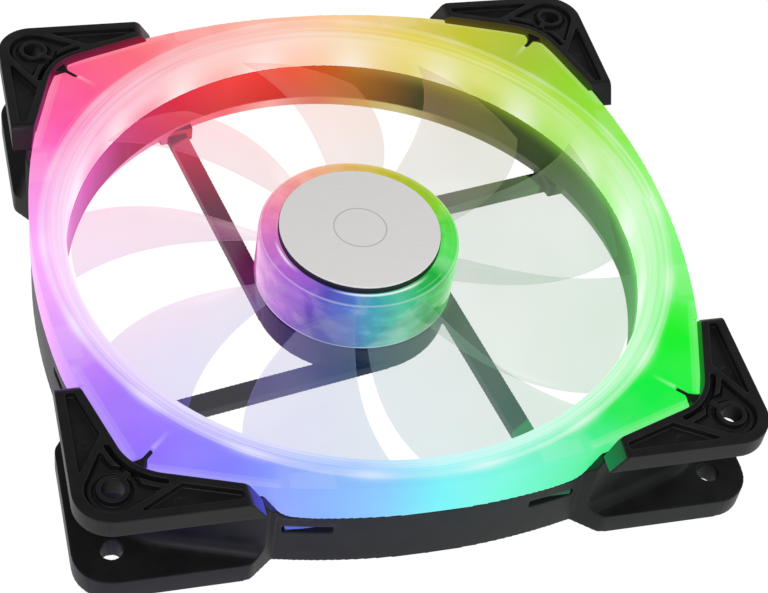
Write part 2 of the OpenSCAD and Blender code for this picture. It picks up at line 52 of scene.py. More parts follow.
# ---------------------------------------------------------------- node helpers
class NT:
    """Small helper that adds nodes to one material."""

    def __init__(self, name):
        self.mat = bpy.data.materials.new(name)
        self.mat.use_nodes = True
        self.t = self.mat.node_tree
        self.t.nodes.clear()
        self.out = self.t.nodes.new("ShaderNodeOutputMaterial")
        self.p = self.t.nodes.new("ShaderNodeBsdfPrincipled")
        self.t.links.new(self.p.outputs["BSDF"], self.out.inputs["Surface"])
        self._tc = None
        self._xyz = None
        self._nrm = None

    def put(self, sock, v):
        if isinstance(v, bpy.types.NodeSocket):
            self.t.links.new(v, sock)
        elif v is not None:
            if sock.type == "RGBA" and len(v) == 3:
                v = (*v, 1.0)
            sock.default_value = v

    def set(self, **k):
        for name, v in k.items():
            self.put(self.p.inputs[name.replace("_", " ")], v)
        return self

    def tc(self):
        if self._tc is None:
            self._tc = self.t.nodes.new("ShaderNodeTexCoord")
        return self._tc

    def co(self):
        return self.tc().outputs["Object"]

    def split(self, v):
        n = self.t.nodes.new("ShaderNodeSeparateXYZ")
        self.t.links.new(v, n.inputs[0])
        return n.outputs

    def xyz(self):
        if self._xyz is None:
            self._xyz = self.split(self.co())
        return self._xyz

    def nrm(self):
        """Normal in the object's own frame."""
        if self._nrm is None:
            self._nrm = self.split(self.tc().outputs["Normal"])
        return self._nrm

    def m(self, op, a, b=None, c=None, clamp=False):
        n = self.t.nodes.new("ShaderNodeMath")
        n.operation = op
        n.use_clamp = clamp
        self.put(n.inputs[0], a)
        if b is not None:
            self.put(n.inputs[1], b)
        if c is not None:
            self.put(n.inputs[2], c)
        return n.outputs[0]

    def add(self, a, b):
        return self.m("ADD", a, b)

    def mul(self, *v):
        out = v[0]
        for w in v[1:]:
            out = self.m("MULTIPLY", out, w)
        return out

    def inv(self, a):
        return self.m("SUBTRACT", 1.0, a)

    def angle(self):
        """0..1 round the fan axis from +X, counter-clockwise from the front."""
        x, y, _ = self.xyz()
        a = self.m("DIVIDE", self.m("ARCTAN2", y, x), 2 * math.pi)
        return self.m("FRACT", self.add(a, 1.0))

    def radius(self):
        x, y, _ = self.xyz()
        return self.m("SQRT", self.add(self.mul(x, x), self.mul(y, y)))

    def step(self, v, lo, hi):
        """0 at lo, 1 at hi; lo may be above hi."""
        n = self.t.nodes.new("ShaderNodeMapRange")
        n.interpolation_type = "SMOOTHSTEP"
        n.clamp = True
        self.put(n.inputs["Value"], v)
        flip = lo > hi
        if flip:
            lo, hi = hi, lo
        n.inputs["From Min"].default_value = lo
        n.inputs["From Max"].default_value = hi
        n.inputs["To Min"].default_value = 1.0 if flip else 0.0
        n.inputs["To Max"].default_value = 0.0 if flip else 1.0
        return n.outputs["Result"]

    def band(self, v, a, b, soft):
        """1 between a and b, with soft edges."""
        return self.mul(self.step(v, a - soft, a + soft), self.step(v, b + soft, b - soft))

    def range(self, v, a, b, c, d):
        n = self.t.nodes.new("ShaderNodeMapRange")
        n.clamp = True
        self.put(n.inputs["Value"], v)
        for s, x in zip(("From Min", "From Max", "To Min", "To Max"), (a, b, c, d)):
            n.inputs[s].default_value = x
        return n.outputs["Result"]

    def ramp(self, fac, stops, interpolation="LINEAR"):
        n = self.t.nodes.new("ShaderNodeValToRGB")
        cr = n.color_ramp
        cr.interpolation = interpolation
        while len(cr.elements) > 1:
            cr.elements.remove(cr.elements[0])
        cr.elements[0].position = stops[0][0]
        cr.elements[0].color = (*stops[0][1], 1.0)
        for pos, c in stops[1:]:
            e = cr.elements.new(pos)
            e.color = (*c, 1.0)
        self.put(n.inputs["Fac"], fac)
        return n.outputs["Color"]

    def mix(self, fac, a, b, kind="MIX"):
        n = self.t.nodes.new("ShaderNodeMix")
        n.data_type = "RGBA"
        n.blend_type = kind
        n.clamp_factor = True
        self.put(n.inputs["Factor"], fac)
        self.put(n.inputs[6], a)
        self.put(n.inputs[7], b)
        return n.outputs[2]

    def vec(self, x, y, z):
        n = self.t.nodes.new("ShaderNodeCombineXYZ")
        for s, v in zip(n.inputs, (x, y, z)):
            self.put(s, v)
        return n.outputs[0]

    def noise(self, scale, detail=2.0, rough=0.5, stretch=None, at=None):
        v = self.co() if at is None else at
        if stretch is not None:
            mp = self.t.nodes.new("ShaderNodeMapping")
            mp.inputs["Scale"].default_value = stretch
            self.t.links.new(v, mp.inputs["Vector"])
            v = mp.outputs["Vector"]
        n = self.t.nodes.new("ShaderNodeTexNoise")
        self.t.links.new(v, n.inputs["Vector"])
        n.inputs["Scale"].default_value = scale
        n.inputs["Detail"].default_value = detail
        n.inputs["Roughness"].default_value = rough
        return n.outputs["Fac"]

    def bump(self, height, strength, distance):
        n = self.t.nodes.new("ShaderNodeBump")
        n.inputs["Strength"].default_value = strength
        n.inputs["Distance"].default_value = distance
        self.put(n.inputs["Height"], height)
        self.t.links.new(n.outputs["Normal"], self.p.inputs["Normal"])
        return self


def wheel(stops):
    """Colour stops by degrees round the fan, closed at 0 = 360."""
    s = sorted((a / 360.0, lin(*c)) for a, c in stops)
    (a0, c0), (a1, c1) = s[-1], s[0]
    f = (1.0 - a0) / (1.0 - a0 + a1) if a1 > 0 else 1.0
    end = tuple(x + (y - x) * f for x, y in zip(c0, c1))
    return [(0.0, end)] + [p for p in s if p[0] > 0] + [(1.0, end)]


# lighting colours of the programmed rainbow, by degrees round the fan
PALE = wheel([(0, (202, 251, 190)), (18, (166, 236, 84)), (32, (172, 228, 52)), (45, (206, 221, 62)),
              (66, (232, 212, 80)), (90, (253, 202, 178)), (120, (250, 184, 190)), (145, (252, 176, 212)),
              (165, (252, 206, 243)), (185, (252, 218, 254)), (215, (230, 214, 253)), (242, (212, 214, 253)),
              (256, (168, 202, 254)), (270, (184, 247, 251)), (290, (192, 252, 230)), (310, (196, 254, 208)),
              (335, (180, 253, 180))])
DEEP = wheel([(0, (145, 250, 115)), (10, (128, 243, 80)), (34, (148, 212, 2)), (45, (166, 193, 1)),
              (56, (194, 195, 0)), (80, (253, 205, 148)), (90, (254, 188, 154)), (100, (252, 178, 162)),
              (124, (253, 103, 125)), (135, (253, 82, 138)), (146, (254, 86, 166)), (170, (253, 146, 240)),
              (180, (254, 168, 254)), (190, (244, 158, 254)), (214, (164, 110, 252)), (225, (148, 116, 255)),
              (236, (132, 128, 254)), (260, (130, 198, 253)), (270, (108, 241, 247)), (280, (110, 247, 220)),
              (304, (20, 236, 84)), (315, (16, 241, 62)), (326, (22, 242, 40)), (350, (114, 250, 104))])
RICH = wheel([(0, (60, 132, 50)), (20, (40, 78, 16)), (45, (54, 62, 1)), (62, (70, 66, 1)),
              (77, (180, 104, 0)), (91, (238, 40, 0)), (105, (252, 58, 54)), (120, (228, 14, 60)),
              (135, (190, 28, 104)), (150, (224, 72, 182)), (180, (224, 140, 230)), (210, (150, 108, 250)),
              (240, (90, 108, 250)), (270, (60, 170, 228)), (298, (32, 178, 108)), (330, (28, 158, 40))])
GLOW = wheel([(0, (22, 145, 30)), (30, (50, 90, 5)), (60, (120, 96, 2)), (90, (235, 60, 6)),
              (115, (200, 20, 50)), (138, (150, 2, 88)), (160, (185, 50, 150)), (190, (180, 70, 225)),
              (225, (95, 45, 225)), (252, (46, 70, 185)), (275, (24, 120, 140)), (300, (8, 140, 60)),
              (325, (2, 150, 28))])
# painted highlight colours for the flared foot of the duct wall
FOOT_HIGHLIGHT = wheel([(0, (60, 120, 55)), (28, (48, 72, 20)), (46, (62, 62, 8)), (56, (104, 96, 18)), (66, (206, 190, 116)), (75, (206, 165, 76)),
               (85, (218, 84, 20)), (95, (254, 172, 164)), (105, (252, 82, 94)), (125, (234, 112, 160)),
               (135, (236, 138, 200)), (180, (240, 190, 245)), (225, (190, 170, 250)), (270, (150, 225, 240)),
               (315, (130, 235, 150))])
# painted coloured light from the ring on the clear blades
BLADE_LIGHT = wheel([(0, (60, 150, 75)), (45, (150, 140, 40)), (90, (240, 110, 45)), (120, (235, 60, 90)),
              (150, (225, 50, 150)), (180, (208, 55, 190)), (215, (120, 80, 215)), (245, (70, 100, 200)),
              (270, (45, 150, 160)), (300, (40, 155, 95)), (330, (45, 160, 65))])
HUB = wheel([(0, (82, 222, 62)), (20, (150, 214, 42)), (60, (204, 194, 52)), (85, (228, 180, 92)),
             (112, (250, 172, 148)), (140, (250, 150, 168)), (162, (240, 128, 190)), (182, (214, 122, 204)),
             (205, (184, 106, 212)), (222, (158, 100, 212)), (237, (92, 86, 192)), (252, (78, 120, 204)),
             (266, (62, 168, 184)), (282, (84, 202, 160)), (298, (42, 188, 92)), (312, (30, 182, 66)),
             (326, (64, 222, 84)), (343, (92, 232, 92))])

CORE_A = math.radians(17.82)


def edge_dist(n):
    """Metres outside (+) or inside (-) the straight inner edges of the corner pads, and the smaller of |x| and |y|."""
    x, y, _ = n.xyz()
    ax, ay = n.m("ABSOLUTE", x), n.m("ABSOLUTE", y)
    s, c = math.sin(CORE_A), math.cos(CORE_A)
    e1 = n.add(n.mul(ax, s), n.mul(ay, c))
    e2 = n.add(n.mul(ax, c), n.mul(ay, s))
    return n.m("SUBTRACT", n.m("MAXIMUM", e1, e2), 0.0732), n.m("MINIMUM", ax, ay), ax, ay


def inward(n):
    """How far the surface faces the fan axis, -1..1."""
    x, y, _ = n.xyz()
    nx, ny, _ = n.nrm()
    d = n.add(n.mul(nx, x), n.mul(ny, y))
    return n.m("MULTIPLY", n.m("DIVIDE", d, n.radius()), -1.0)


# ---------------------------------------------------------------- materials
def grain(n, strength=0.12, scale=2600.0, rough=(0.36, 0.5)):
    """Fine moulded grain: bump and a little variation in roughness."""
    fine = n.noise(scale, 3.0, 0.6)
    broad = n.noise(160.0, 3.0, 0.55)
    mixed = n.add(n.mul(fine, 0.6), n.mul(broad, 0.4))
    n.set(Roughness=n.range(mixed, 0.3, 0.7, rough[0], rough[1]))
    n.bump(fine, strength, 0.00004)
    return broad


def make_black():
    n = NT("black_plastic")
    broad = grain(n)
    n.set(Base_Color=n.ramp(broad, [(0.35, (0.0085, 0.0085, 0.0092)), (0.7, (0.0135, 0.0135, 0.0145))]))
    n.p.inputs["Specular IOR Level"].default_value = 0.13
    a, r = n.angle(), n.radius()
    x, y, z = n.xyz()
    face = inward(n)
    # light spilling down the duct wall
    wall = n.mul(n.band(r, 0.0600, 0.0630, 0.0002), n.step(face, 0.3, 0.8))
    high = n.range(z, 0.0, 0.0142, 0.62, 1.0)
    # painted highlight: a bright band low on the duct wall where it flares out
    foot_highlight = n.mul(n.band(r, 0.0626, 0.0649, 0.0002), n.step(z, 0.0052, 0.0044), n.step(face, 0.1, 0.4))
    k = n.mul(wall, high)
    # arms and motor cup: painted coloured light from the ring, only near the lit pieces
    inside = n.step(r, 0.0604, 0.0592)
    far = n.step(y, -0.010, 0.015)
    arm = n.add(n.mul(n.m("POWER", n.range(r, 0.034, 0.0590, 0.0, 1.0), 1.4), far, 0.95),
                n.mul(n.step(r, 0.0502, 0.0510), n.inv(far), 0.80))
    near = n.mul(n.step(r, 0.040, 0.024), 0.13)
    k2 = n.mul(n.add(n.add(arm, near), n.mul(n.step(y, -0.010, 0.030), n.step(x, 0.010, -0.010), 0.22)), inside)
    # painted pale glow over the arms and motor cup inside the duct
    pale_glow = n.mul(inside, n.step(r, 0.0235, 0.0300), 0.060)
    # painted faint coloured light on the outward faces at the front
    front_glow = n.mul(n.step(r, 0.0655, 0.0665), n.step(face, -0.3, -0.7), n.range(y, -0.030, -0.055, 0.0, 1.0), 0.010)
    # painted coloured light from the ring on the sloped ends of the corners and the wall behind the ring
    e, lo, ax, ay = edge_dist(n)
    outer = n.step(r, 0.0668, 0.0676)
    skin = n.mul(outer, n.step(z, 0.0120, 0.0160), n.step(face, 0.15, 0.5), 0.22)
    spill = n.mul(outer, n.step(z, 0.0030, 0.0145), n.step(lo, 0.031, 0.029), 0.016)
    col = n.mix(k, (0, 0, 0), n.ramp(a, RICH))
    col = n.mix(n.mul(foot_highlight, 0.92), col, n.ramp(a, FOOT_HIGHLIGHT))
    glow = n.mul(wall, n.m("POWER", n.range(z, 0.0098, 0.0144, 0.0, 1.0), 2.0), n.range(x, 0.010, 0.035, 0.0, 0.40))
    col = n.mix(glow, col, n.ramp(a, DEEP), "ADD")
    col = n.mix(n.add(n.add(k2, skin), spill), col, n.ramp(a, GLOW), "ADD")
    col = n.mix(pale_glow, col, (0.8, 0.8, 0.9), "ADD")
    col = n.mix(front_glow, col, n.ramp(a, GLOW), "ADD")
    # emission: painted coloured light from the ring on the black plastic
    n.put(n.p.inputs["Emission Color"], col)
    n.p.inputs["Emission Strength"].default_value = 0.92
    return n.mat


def make_pad():
    n = NT("pad_black")
    broad = grain(n, 0.14, 2400.0, (0.38, 0.52))
    n.set(Base_Color=n.ramp(broad, [(0.35, (0.0085, 0.0080, 0.0092)), (0.7, (0.0130, 0.0125, 0.0140))]))
    n.p.inputs["Specular IOR Level"].default_value = 0.17
    a = n.angle()
    z = n.xyz()[2]
    face = inward(n)
    e, lo, ax, ay = edge_dist(n)
    # painted coloured light from the ring on the pads' inner sides and sloped ends, fading upward, the ends lit most
    # at the front
    side = n.mul(n.step(e, 0.0006, 0.0002), n.step(face, 0.45, 0.75), n.range(z, 0.0205, 0.0245, 0.9, 0.25))
    slope = n.add(n.mul(n.m("SUBTRACT", z, 0.0144), 0.66), 0.0303)
    end = n.mul(n.step(n.m("SUBTRACT", lo, slope), 0.0010, 0.0006), n.step(face, 0.22, 0.36),
                n.range(z, 0.0205, 0.0250, 0.80, 0.45), n.range(n.xyz()[1], -0.010, -0.030, 0.06, 1.0))
    n.put(n.p.inputs["Emission Color"], n.mix(n.m("MAXIMUM", side, end), (0, 0, 0), n.ramp(a, GLOW)))
    n.p.inputs["Emission Strength"].default_value = 1.0
    return n.mat


def make_ring():
    n = NT("diffuser")
    a, r = n.angle(), n.radius()
    x, y, z = n.xyz()
    nz = n.nrm()[2]
    pale = n.ramp(a, PALE)
    deep = n.ramp(a, DEEP)
    e, lo, ax, ay = edge_dist(n)
    # angle from the nearest diagonal, in degrees
    q = n.m("ABSOLUTE", n.m("SUBTRACT", n.mul(n.m("FRACT", n.mul(a, 4.0)), 90.0), 45.0))
    zone = n.step(q, 19.6, 17.4)
    # emitters: 18, every 20 degrees from 18
    w = n.m("COSINE", n.mul(n.m("SUBTRACT", n.mul(a, 360.0), 18.0), 18.0 * math.pi / 180.0))
    w01 = n.m("MULTIPLY_ADD", w, 0.5, 0.5)
    d = n.m("DIVIDE", n.m("SUBTRACT", r, 0.0671), 0.0012)
    blob = n.mul(n.m("POWER", w01, 2.4), n.m("EXPONENT", n.mul(n.mul(d, d), -1.0)))
    outer = n.step(r, 0.0664, 0.0684)
    mid = n.mul(n.step(r, 0.0640, 0.0668), 0.38)
    depth = n.m("MAXIMUM", mid, n.mul(outer, n.range(zone, 0.0, 1.0, 0.88, 1.0)))
    col = n.mix(depth, pale, deep)
    # painted highlight: whiter towards the lip and on the bore wall
    col = n.mix(n.mul(n.step(r, 0.0655, 0.0628), 0.14), col, (1.0, 1.0, 1.0))
    front = n.step(z, 0.0200, 0.0225)
    col = n.mix(n.mul(blob, front, n.range(y, -0.02, 0.03, 0.42, 0.14)), col, (1.0, 1.0, 1.0))
    drift = n.noise(1.0, 2.0, 0.55, at=n.vec(n.mul(a, 7.0), n.mul(r, 1500.0), 0.0))
    col = n.mix(n.mul(n.range(drift, 0.48, 0.72, 0.0, 0.20), front, n.step(r, 0.0690, 0.0680)), col, (1, 1, 1))
    col = n.mix(n.mul(n.range(drift, 0.50, 0.28, 0.0, 0.35), front, n.step(r, 0.0690, 0.0680)), col, deep)
    # painted highlight: a thin white line along the ridge of the top
    col = n.mix(n.mul(n.band(r, 0.0675, 0.0678, 0.00018), front, 0.14), col, (1, 1, 1))
    wall = n.mul(n.step(r, 0.0634, 0.0627), n.step(nz, 0.75, 0.35))
    col = n.mix(n.mul(wall, n.m("POWER", w01, 1.8), n.range(z, 0.0144, 0.022, 0.5, 0.15)), col, (1, 1, 1))
    col = n.mix(n.mul(wall, n.inv(w01), n.step(z, 0.0200, 0.0150), 0.45), col, deep)
    # sloped border beside the pads with a painted highlight, a painted highlight line on its crease, and the slot line
    corner = n.step(lo, 0.0305, 0.0320)
    border = n.mul(n.step(e, -0.0021, -0.0014), corner, n.step(z, 0.0195, 0.0205))
    col = n.mix(n.mul(border, 0.12), col, (1, 1, 1))
    col = n.mix(n.mul(n.band(e, -0.0024, -0.0019, 0.00025), corner, 0.08), col, (1, 1, 1))
    t = n.mul(n.m("ABSOLUTE", n.m("SUBTRACT", ax, ay)), 0.7071)
    line = n.mul(n.step(t, 0.0008, 0.0001), n.range(r, 0.0700, 0.0752, 0.0, 1.0))
    col = n.mix(n.mul(line, 0.22), col, (1, 1, 1))
    # pale windows over the snap hooks
    hi = n.m("MAXIMUM", ax, ay)
    hook = n.mul(n.band(lo, 0.0206, 0.0294, 0.0003), n.step(hi, 0.0630, 0.0634), n.step(nz, 0.6, 0.9))
    col = n.mix(n.mul(hook, 0.06), col, (1, 1, 1))
    # vertical outer skirt: deeper, with soft cloudy light
    skirt = n.mul(n.step(r, 0.0668, 0.0676), n.step(nz, 0.7, 0.3))
    col = n.mix(n.mul(skirt, 0.75), col, deep)
    cloud = n.noise(70.0, 2.0, 0.5)
    col = n.mix(n.range(cloud, 0.35, 0.7, 0.0, 0.05), col, (1, 1, 1))
    # painted shade: the snap hooks are almost dark below the seam, with painted light on part of their faces
    lit = n.m("MAXIMUM", n.mul(n.step(z, 0.0136, 0.0144), 1.0),
              n.mul(n.step(n.m("SUBTRACT", z, n.range(x, -0.0294, -0.0206, 0.0103, 0.0086)), 0.0, 0.0003),
                    n.step(z, 0.0117, 0.0112), n.range(x, -0.010, 0.010, 1.0, 0.25)))
    lit = n.m("MAXIMUM", lit, 0.05)
    col = n.mix(n.step(z, 0.0138, 0.0128), col, n.mix(0.25, n.ramp(a, GLOW), deep))
    lit_col = n.mix(lit, (0, 0, 0), col)
    n.put(n.p.inputs["Emission Color"], lit_col)
    n.p.inputs["Emission Strength"].default_value = 0.95
    n.set(Base_Color=n.mix(0.95, lit_col, (0.0, 0.0, 0.0)))
    n.p.inputs["Roughness"].default_value = 0.42
    n.p.inputs["Specular IOR Level"].default_value = 0.14
    n.p.inputs["Coat Weight"].default_value = 0.03
    n.p.inputs["Coat Roughness"].default_value = 0.25
    n.bump(n.noise(1500.0, 2.0, 0.5), 0.04, 0.00003)
    return n.mat


def make_hub():
    n = NT("clear_hub")
    a, r = n.angle(), n.radius()
    z = n.xyz()[2]
    nz = n.nrm()[2]
    # painted coloured light from the ring, by degrees round the hub
    col = n.ramp(a, HUB)
    top = n.step(nz, 0.55, 0.9)
    # bands drawn round by the turning: painted light and painted shade, the shade stronger towards the bottom
    x, y, _ = n.xyz()
    swirl = n.noise(1.0, 3.0, 0.55, at=n.vec(n.mul(a, 16.0), n.mul(z, 190.0), n.mul(r, 90.0)))
    col = n.mix(n.range(swirl, 0.52, 0.80, 0.0, 0.22), col, (1, 1, 1))
    col = n.mix(n.mul(n.range(swirl, 0.56, 0.26, 0.0, 0.95), n.range(z, 0.0205, 0.0100, 0.25, 1.0)), col,
                n.mix(0.40, n.ramp(a, GLOW), (0, 0, 0)))
    # painted shade: a dark blue patch low on the hub, between 222 and 252 degrees
    col = n.mix(n.mul(n.step(z, 0.0190, 0.0130), n.band(n.mul(a, 360.0), 222.0, 252.0, 14.0), 0.55), col, lin(58, 58, 140))
    # painted highlight lines: outer corner, mould step and lower edge
    col = n.mix(n.mul(n.band(r, 0.0213, 0.0216, 0.0002), n.step(z, 0.0195, 0.0202), 0.30), col, (1, 1, 1))
    col = n.mix(n.mul(n.band(z, 0.0084, 0.0087, 0.00012), 0.4), col, (1, 1, 1))
    deg = n.mul(a, 360.0)
    glint = n.m("MAXIMUM", n.band(deg, 246.0, 300.0, 12.0), n.mul(n.band(deg, 186.0, 206.0, 8.0), 0.8))
    col = n.mix(n.mul(n.band(r, 0.0183, 0.0189, 0.0003), top, glint, 0.9), col, (1, 1, 1))
    n.put(n.p.inputs["Emission Color"], col)
    n.p.inputs["Emission Strength"].default_value = 0.86
    n.set(Base_Color=n.mix(0.88, col, (0.0, 0.0, 0.0)))
    n.p.inputs["Roughness"].default_value = 0.16
    n.p.inputs["Specular IOR Level"].default_value = 0.30
    n.p.inputs["Coat Weight"].default_value = 0.30
    n.p.inputs["Coat Roughness"].default_value = 0.04
    return n.mat


def make_blade():
    n = NT("clear_blade")
    a, r = n.angle(), n.radius()
    cloud = n.noise(45.0, 2.0, 0.5)
    # painted coloured light from the ring on the clear blades, stronger towards the tips
    col = n.mix(n.range(r, 0.024, 0.0560, 0.45, 0.95), (0.30, 0.31, 0.33), n.ramp(a, BLADE_LIGHT))
    col = n.mix(n.range(cloud, 0.3, 0.7, 0.0, 0.25), col, (0.6, 0.6, 0.62))
    n.set(Base_Color=n.mix(0.85, col, (0.0, 0.0, 0.0)))
    n.set(Roughness=n.range(cloud, 0.3, 0.7, 0.16, 0.26))
    n.p.inputs["Alpha"].default_value = 0.17
    n.put(n.p.inputs["Emission Color"], col)
    n.p.inputs["Emission Strength"].default_value = 0.95
    return n.mat


def make_simple(name, color, rough=0.5, metal=0.0, scale=900.0, amount=0.12, bump=0.08, **more):
    n = NT(name)
    f = n.noise(scale, 3.0, 0.55)
    dark = tuple(v * (1 - amount) for v in color)
    light = tuple(min(1.0, v * (1 + amount)) for v in color)
    n.set(Base_Color=n.ramp(f, [(0.3, dark), (0.7, light)]))
    n.set(Roughness=n.range(f, 0.3, 0.7, max(0.03, rough - 0.06), rough + 0.06))
    n.p.inputs["Metallic"].default_value = metal
    n.bump(f, bump, 0.00003)
    for k, v in more.items():
        n.put(n.p.inputs[k.replace("_", " ")], v)
    return n.mat


def make_disc():
    n = NT("disc_metal")
    x, y, z = n.xyz()
    r = n.radius()
    brush = n.noise(420.0, 4.0, 0.65, stretch=(1.0, 26.0, 1.0))
    soft = n.noise(70.0, 2.0, 0.5)
    base = n.ramp(brush, [(0.3, (0.84, 0.83, 0.82)), (0.7, (0.90, 0.89, 0.88))])
    etch = n.mul(n.band(r, 0.00560, 0.00585, 0.00008), 0.55)
    n.set(Base_Color=n.mix(etch, base, (0.25, 0.25, 0.24)))
    n.p.inputs["Metallic"].default_value = 0.05
    n.set(Roughness=n.range(soft, 0.3, 0.7, 0.40, 0.50))
    n.p.inputs["Specular IOR Level"].default_value = 0.5
    n.bump(brush, 0.05, 0.00002)
    return n.mat


M = {
    "black": make_black(), "pad": make_pad(), "ring": make_ring(), "hub": make_hub(), "blade": make_blade(),
    "disc": make_disc(),
    "foam": make_simple("foam_black", (0.006, 0.006, 0.007), 0.6, 0, 1800, 0.3, 0.2),
    "steel": make_simple("zinc_steel", (0.50, 0.51, 0.53), 0.32, 1.0, 500, 0.08),
    "ground": make_simple("ground_steel", (0.62, 0.62, 0.64), 0.16, 1.0, 1500, 0.05),
    "magnet": make_simple("bonded_magnet", (0.06, 0.058, 0.058), 0.75, 0, 1400, 0.25, 0.2),
    "brass": make_simple("turned_brass", (0.66, 0.45, 0.17), 0.24, 1.0, 800, 0.08),
    "bronze": make_simple("sintered_bronze", (0.45, 0.27, 0.12), 0.45, 1.0, 2200, 0.25, 0.3),
    "nylon": make_simple("nylon", (0.80, 0.79, 0.73), 0.45, 0, 900, 0.05),
    "rubber": make_simple("seal_rubber", (0.02, 0.02, 0.02), 0.7, 0, 1500, 0.25),
    "lamination": make_simple("lamination", (0.33, 0.34, 0.36), 0.42, 1.0, 700, 0.15),
    "copper": make_simple("copper_wire", (0.56, 0.22, 0.07), 0.3, 0.85, 900, 0.15, Coat_Weight=0.6),
    "board": make_simple("board_green", (0.012, 0.10, 0.035), 0.3, 0, 700, 0.15),
    "chip": make_simple("chip_black", (0.02, 0.02, 0.021), 0.5, 0, 2000, 0.2),
    "smd": make_simple("smd_tan", (0.42, 0.31, 0.17), 0.5, 0, 1200, 0.15),
    "wire": make_simple("wire_black", (0.02, 0.02, 0.021), 0.45, 0, 1000, 0.2),
    "label": make_simple("label_paper", (0.52, 0.52, 0.52), 0.5, 0, 1600, 0.05),
    "whiteboard": make_simple("white_board", (0.80, 0.82, 0.80), 0.35, 0, 900, 0.04),
    "emitter": make_simple("emitter", (0.9, 0.9, 0.86), 0.3, 0, 900, 0.04, Emission_Color=(1, 1, 1, 1), Emission_Strength=1.2),
}

USE = {"ring_board": "whiteboard", "ring_emitters": "emitter", "rotor_yoke": "steel", "ring_magnet": "magnet",
       "shaft_boss": "brass", "shaft": "ground", "thrust_pad": "nylon", "retaining_clip": "nylon",
       "bearing_sleeve": "bronze", "bearing_tube": "brass", "oil_seal": "rubber", "stator_core": "lamination",
       "insulator_upper": "nylon", "insulator_lower": "nylon", "coils": "copper", "motor_board": "board",
       "driver_chip": "chip", "hall_sensor": "chip", "board_parts": "smd", "hub_emitters": "emitter"}

for name, o in nodes.items():
    o.data.materials.clear()
    o.data.materials.append(M[USE.get(name, "black")])


# ---------------------------------------------------------------- pieces
def add_piece(name, me, mat, body, node):
    ob = bpy.data.objects.new(name, me)
    sc.collection.objects.link(ob)
    me.materials.clear()
    me.materials.append(M[mat])
    for p in me.polygons:
        p.use_smooth = True
        p.material_index = 0
    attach(ob, body)
    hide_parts(node)
    return ob


def moulded(node, name, voxel, ratio, mat, body, rounds=2):
    """A copy of a CAD solid with softly rounded edges, as it comes out of a mould."""
    tmp = bpy.data.objects.new(name + "_tmp", nodes[node].data.copy())
    sc.collection.objects.link(tmp)
    w = tmp.modifiers.new("join", "WELD")
    w.merge_threshold = 2e-6
    r = tmp.modifiers.new("skin", "REMESH")
    r.mode = "VOXEL"
    r.voxel_size = voxel * MM
    r.use_smooth_shade = True
    s = tmp.modifiers.new("soften", "SMOOTH")
    s.factor = 0.5
    s.iterations = rounds
    d = tmp.modifiers.new("thin", "DECIMATE")
    d.ratio = ratio
    dg = bpy.context.evaluated_depsgraph_get()
    me = bpy.data.meshes.new_from_object(tmp.evaluated_get(dg), preserve_all_data_layers=False, depsgraph=dg)
    bpy.data.objects.remove(tmp)
    me.name = name
    return add_piece(name, me, mat, body, node)


def rounded_profile(pts, n=4):
    """Closed profile of (r, z, fillet) corners as a list of (r, z)."""
    out = []
    m = len(pts)
    for i in range(m):
        p = Vector(pts[i][:2])
        f = pts[i][2]
        if f <= 0:
            out.append(tuple(p))
            continue
        u = (Vector(pts[i - 1][:2]) - p).normalized()
        v = (Vector(pts[(i + 1) % m][:2]) - p).normalized()
        h = math.acos(max(-1, min(1, u.dot(v)))) / 2
        a = p + u * f / math.tan(h)
        c = p + v * f / math.tan(h)
        o = p + (u + v).normalized() * f / math.sin(h)
        for k in range(n + 1):
            q = (a - o) * (1 - k / n) + (c - o) * (k / n)
            out.append(tuple(o + q.normalized() * f))
    return out


def lathe(name, prof, seg):
    """Mesh turned from a closed profile in millimetres; points at r = 0 become poles."""
    bm = bmesh.new()
    cols = []
    for r, z in prof:
        if r < 1e-6:
            cols.append([bm.verts.new((0, 0, z * MM))] * seg)
        else:
            cols.append([bm.verts.new((r * math.cos(2 * math.pi * k / seg) * MM,
                                       r * math.sin(2 * math.pi * k / seg) * MM, z * MM)) for k in range(seg)])
    m = len(cols)
    for i in range(m):
        a, b = cols[i], cols[(i + 1) % m]
        if a[0] is a[1] and b[0] is b[1]:
            continue
        for k in range(seg):
            q = [a[k], a[(k + 1) % seg], b[(k + 1) % seg], b[k]]
            face = []
            for v in q:
                if v not in face:
                    face.append(v)
            if len(face) > 2:
                bm.faces.new(face)
    bmesh.ops.recalc_face_normals(bm, faces=bm.faces)
    me = bpy.data.meshes.new(name)
    bm.to_mesh(me)
    bm.free()
    return me


moulded("frame_housing", "housing_shell", 0.20, 0.085, "black", "housing",
        4)
moulded("light_ring", "diffuser_ring", 0.20, 0.10, "ring", "housing",
        4)
for pad in ("pad_front_left", "pad_front_right", "pad_rear_right", "pad_rear_left"):
    moulded(pad, pad + "_rubber", 0.15, 0.22, "pad", "housing", 1)

# hub shell, turned with rounded corners and a mould step on the front
HUB_PROFILE = rounded_profile([(0, 19.6, 0), (20.4, 19.6, 0.3), (20.4, 8.2, 0.2), (21.9, 8.2, 0.35), (21.9, 12.0, 0),
                               (21.85, 20.4, 0), (21.7, 21.15, 0.3), (20.5, 21.38, 0.2), (20.3, 21.5, 0.08),
                               (18.35, 21.5, 0.3), (18.0, 20.9, 0.05), (0, 20.9, 0)], 4)
add_piece("hub_shell", lathe("hub_shell", HUB_PROFILE, 160), "hub", "rotor", "impeller")
add_piece("hub_disc_plate", lathe("hub_disc_plate", rounded_profile(
    [(0, 22.4, 0), (17.5, 22.4, 0.06), (17.5, 22.8, 0.16), (0, 22.8, 0)], 4), 160), "disc", "rotor", "hub_disc")
add_piece("hub_disc_backing", lathe("hub_disc_backing", rounded_profile(
    [(0, 20.9, 0), (17.65, 20.9, 0.1), (17.65, 22.4, 0.15), (0, 22.4, 0)], 4), 128), "foam", "rotor", "hub_disc_pad")
